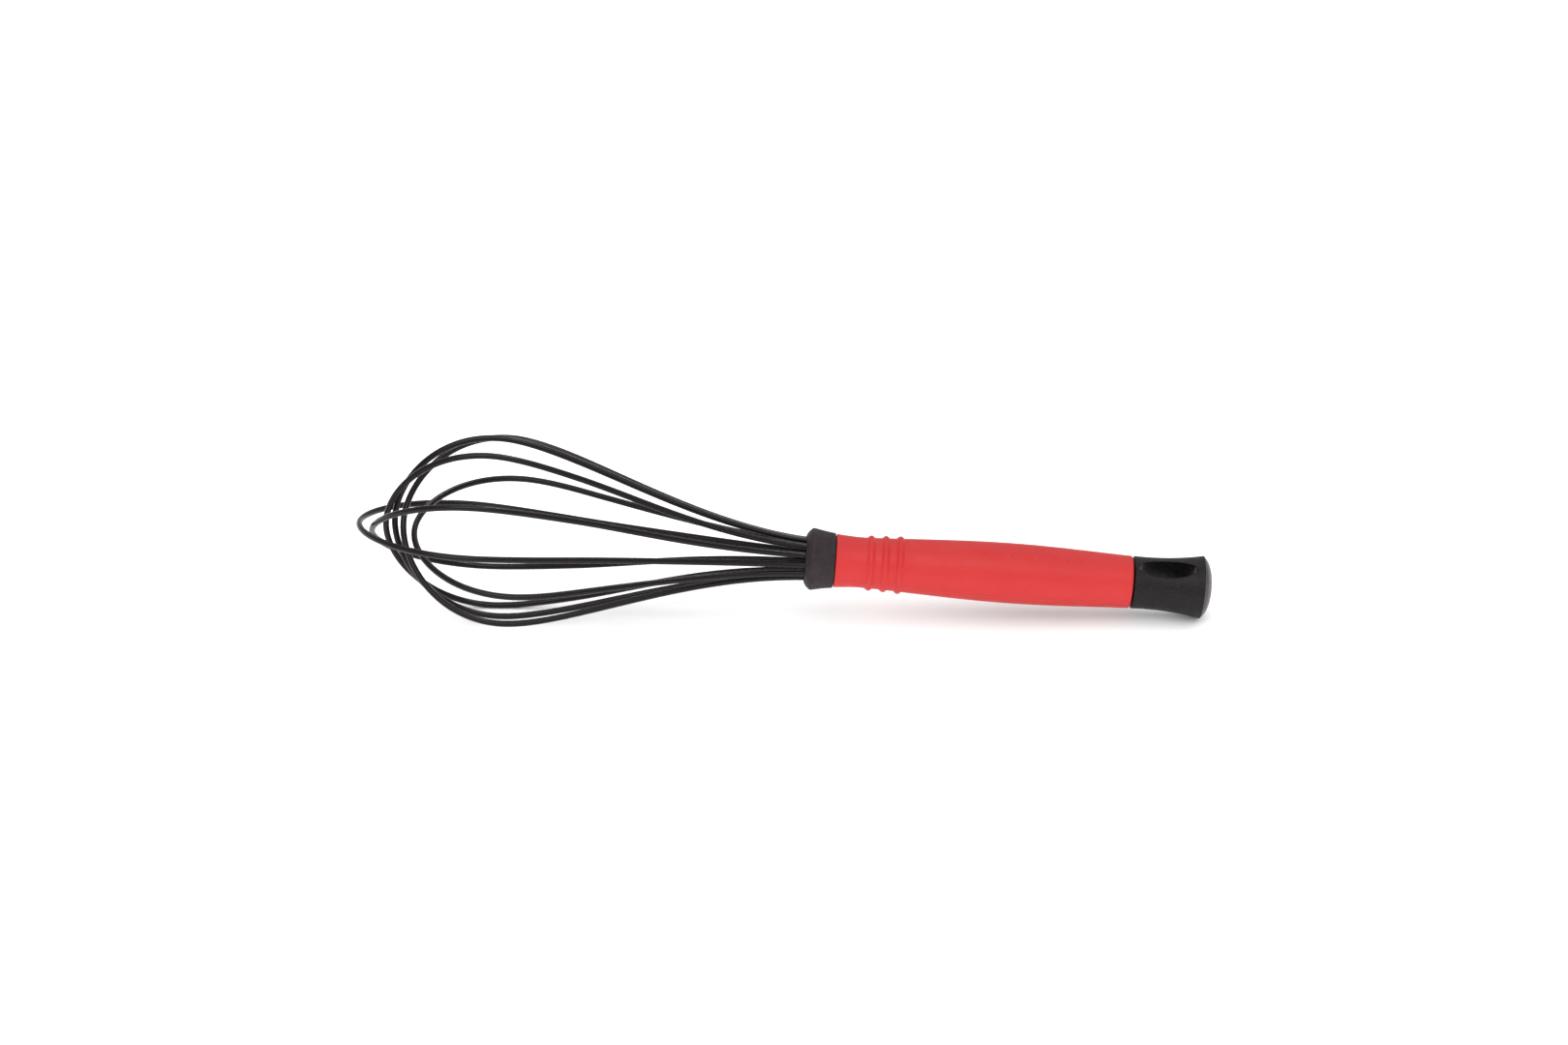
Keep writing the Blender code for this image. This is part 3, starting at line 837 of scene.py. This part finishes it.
def spring_steel():
    """Drawn steel with fine lengthwise marks."""
    finish = Finish("spring_steel_look", colour=(0.58, 0.58, 0.57), roughness=0.3, metallic=1.0)
    marks = finish.noise(0.12 * MM, 3.0, stretch=20)
    finish.vary_colour(finish.ranged(marks, 0, 1), (0.42, 0.42, 0.42))
    finish.vary_roughness(marks, 0.08)
    finish.bump(marks, 0.003 * MM)
    return finish.material


def black_nylon():
    """Plain moulded nylon with a faint flow pattern."""
    finish = Finish("black_nylon_look", colour=(0.012, 0.011, 0.0115), roughness=0.5, specular=0.4)
    finish.vary_colour(finish.ranged(finish.noise(6 * MM, 4.0, stretch=4), 0, 1), (0.02, 0.018, 0.019))
    finish.vary_roughness(finish.noise(1 * MM), 0.06)
    finish.bump(finish.noise(0.35 * MM), 0.006 * MM)
    return finish.material


def cast_resin():
    """Amber epoxy with small bubbles just under its surface."""
    finish = Finish("cast_resin_look", colour=(0.5, 0.4, 0.22), roughness=0.25)
    finish.vary_colour(finish.ranged(finish.cells(0.9 * MM), 1, 0, 0.1, 0.25), (0.68, 0.6, 0.42))
    finish.vary_roughness(finish.noise(2 * MM), 0.08)
    finish.bump(finish.noise(1.5 * MM), 0.02 * MM)
    return finish.material


def dress(node, material):
    """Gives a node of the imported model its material, in every slot it has."""
    thing = frame["nodes"][node]
    if not thing.material_slots:
        thing.data.materials.append(material)
    for place in thing.material_slots:
        place.material = material


# ---------------------------------------------------------------- studio


CAMERA_TARGET = WHISK.translation + Vector((-7.42, 5.44, 11.25)) * MM
CAMERA_DISTANCE = 1.3204
CAMERA_ELEVATION = math.radians(26)
CAMERA_YAW = math.radians(0.57)
SENSOR_WIDTH = 36
LENS = 86.67


def add_camera():
    """A long lens a little over a metre away, looking down at the whisk from its front side."""
    data = bpy.data.cameras.new("camera")
    data.sensor_width = SENSOR_WIDTH
    data.lens = LENS
    data.clip_start = 0.05
    data.clip_end = 60
    camera = bpy.data.objects.new("camera", data)
    flat = math.cos(CAMERA_ELEVATION)
    back = Vector((math.sin(CAMERA_YAW) * flat, -math.cos(CAMERA_YAW) * flat, math.sin(CAMERA_ELEVATION)))
    camera.location = CAMERA_TARGET + CAMERA_DISTANCE * back
    camera.rotation_mode = "QUATERNION"
    camera.rotation_quaternion = (-back).to_track_quat("-Z", "Y")
    bpy.context.scene.collection.objects.link(camera)
    bpy.context.scene.camera = camera


def add_floor():
    """A wide pale floor, which its own light brings to white."""
    finish = Finish("floor_look", colour=(0.31, 0.31, 0.31), roughness=0.85, specular=0.1)
    finish.vary_colour(finish.ranged(finish.noise(0.3), 0, 1), (0.32, 0.32, 0.32))
    finish.vary_roughness(finish.noise(0.05), 0.05)
    mesh = bpy.data.meshes.new("studio_floor")
    shape = bmesh.new()
    bmesh.ops.create_grid(shape, x_segments=8, y_segments=8, size=15)
    shape.to_mesh(mesh)
    shape.free()
    mesh.materials.append(finish.material)
    floor = bpy.data.objects.new("studio_floor", mesh)
    bpy.context.scene.collection.objects.link(floor)
    return floor


def add_soft_light(name, towards, strength, spread):
    """A distant even light. towards points from the whisk to it, and spread is its width in degrees."""
    data = bpy.data.lights.new(name, "SUN")
    data.energy = strength
    data.angle = math.radians(spread)
    light = bpy.data.objects.new(name, data)
    light.rotation_mode = "QUATERNION"
    light.rotation_quaternion = Vector(towards).to_track_quat("Z", "Y")
    bpy.context.scene.collection.objects.link(light)
    return light


def add_surround(strength):
    """Soft light from all round the set, in front of a white backdrop."""
    world = bpy.data.worlds.new("studio")
    world.use_nodes = True
    tree = world.node_tree
    surround = tree.nodes["Background"]
    surround.inputs["Color"].default_value = (1, 1, 1, 1)
    surround.inputs["Strength"].default_value = strength
    backdrop = tree.nodes.new("ShaderNodeBackground")
    backdrop.inputs["Color"].default_value = (1, 1, 1, 1)
    seen = tree.nodes.new("ShaderNodeLightPath").outputs["Is Camera Ray"]
    mix = tree.nodes.new("ShaderNodeMixShader")
    tree.links.new(seen, mix.inputs["Fac"])
    tree.links.new(surround.outputs["Background"], mix.inputs[1])
    tree.links.new(backdrop.outputs["Background"], mix.inputs[2])
    tree.links.new(mix.outputs["Shader"], tree.nodes["World Output"].inputs["Surface"])
    bpy.context.scene.world = world


def light_only(light, things):
    """Keeps a light to some objects, which everything else still shades."""
    receivers = bpy.data.collections.new(f"{light.name}_receivers")
    for thing in things:
        receivers.objects.link(thing)
    light.light_linking.receiver_collection = receivers


def light_studio(floor, sleeves):
    """Light from the front, the top and all round, and lights of their own for the wires and floor.

    The wires' narrow light draws thin highlights on them. The floor's keeps it white round a soft shadow.
    """
    add_surround(strength=0.6)
    add_soft_light("front_softbox", towards=(-0.08, -0.6, 0.8), strength=1.12, spread=40)
    add_soft_light("top_softbox", towards=(0.1, 0.4, 0.9), strength=0.5, spread=60)
    strip = add_soft_light("wire_striplight", towards=(0.2, 0.35, 0.9), strength=0.55, spread=8)
    light_only(strip, sleeves)
    floor_light = add_soft_light("floor_softbox", towards=(0, 0, 1), strength=12.4, spread=165)
    light_only(floor_light, [floor])
    bpy.context.scene.view_settings.view_transform = "Standard"


# ---------------------------------------------------------------- the whisk


def build_whisk():
    sleeve = wire_silicone()
    steel = spring_steel()
    nylon = black_nylon()
    sleeves = [build_sleeve(number, loop, sleeve) for number, loop in enumerate(LOOPS, start=1)]
    for number, loop in enumerate(LOOPS, start=1):
        build_core(number, loop, steel)
    build_collar(collar_rubber())
    build_grip(grip_silicone())
    build_end_cap(cap_grain_glints(), slot_gloss(), dome_satin_painted_sheen())
    dress("wire_plug", nylon)
    dress("handle_core", nylon)
    dress("crimp_ring", steel)
    dress("wire_potting", cast_resin())
    return sleeves


light_studio(add_floor(), build_whisk())
add_camera()
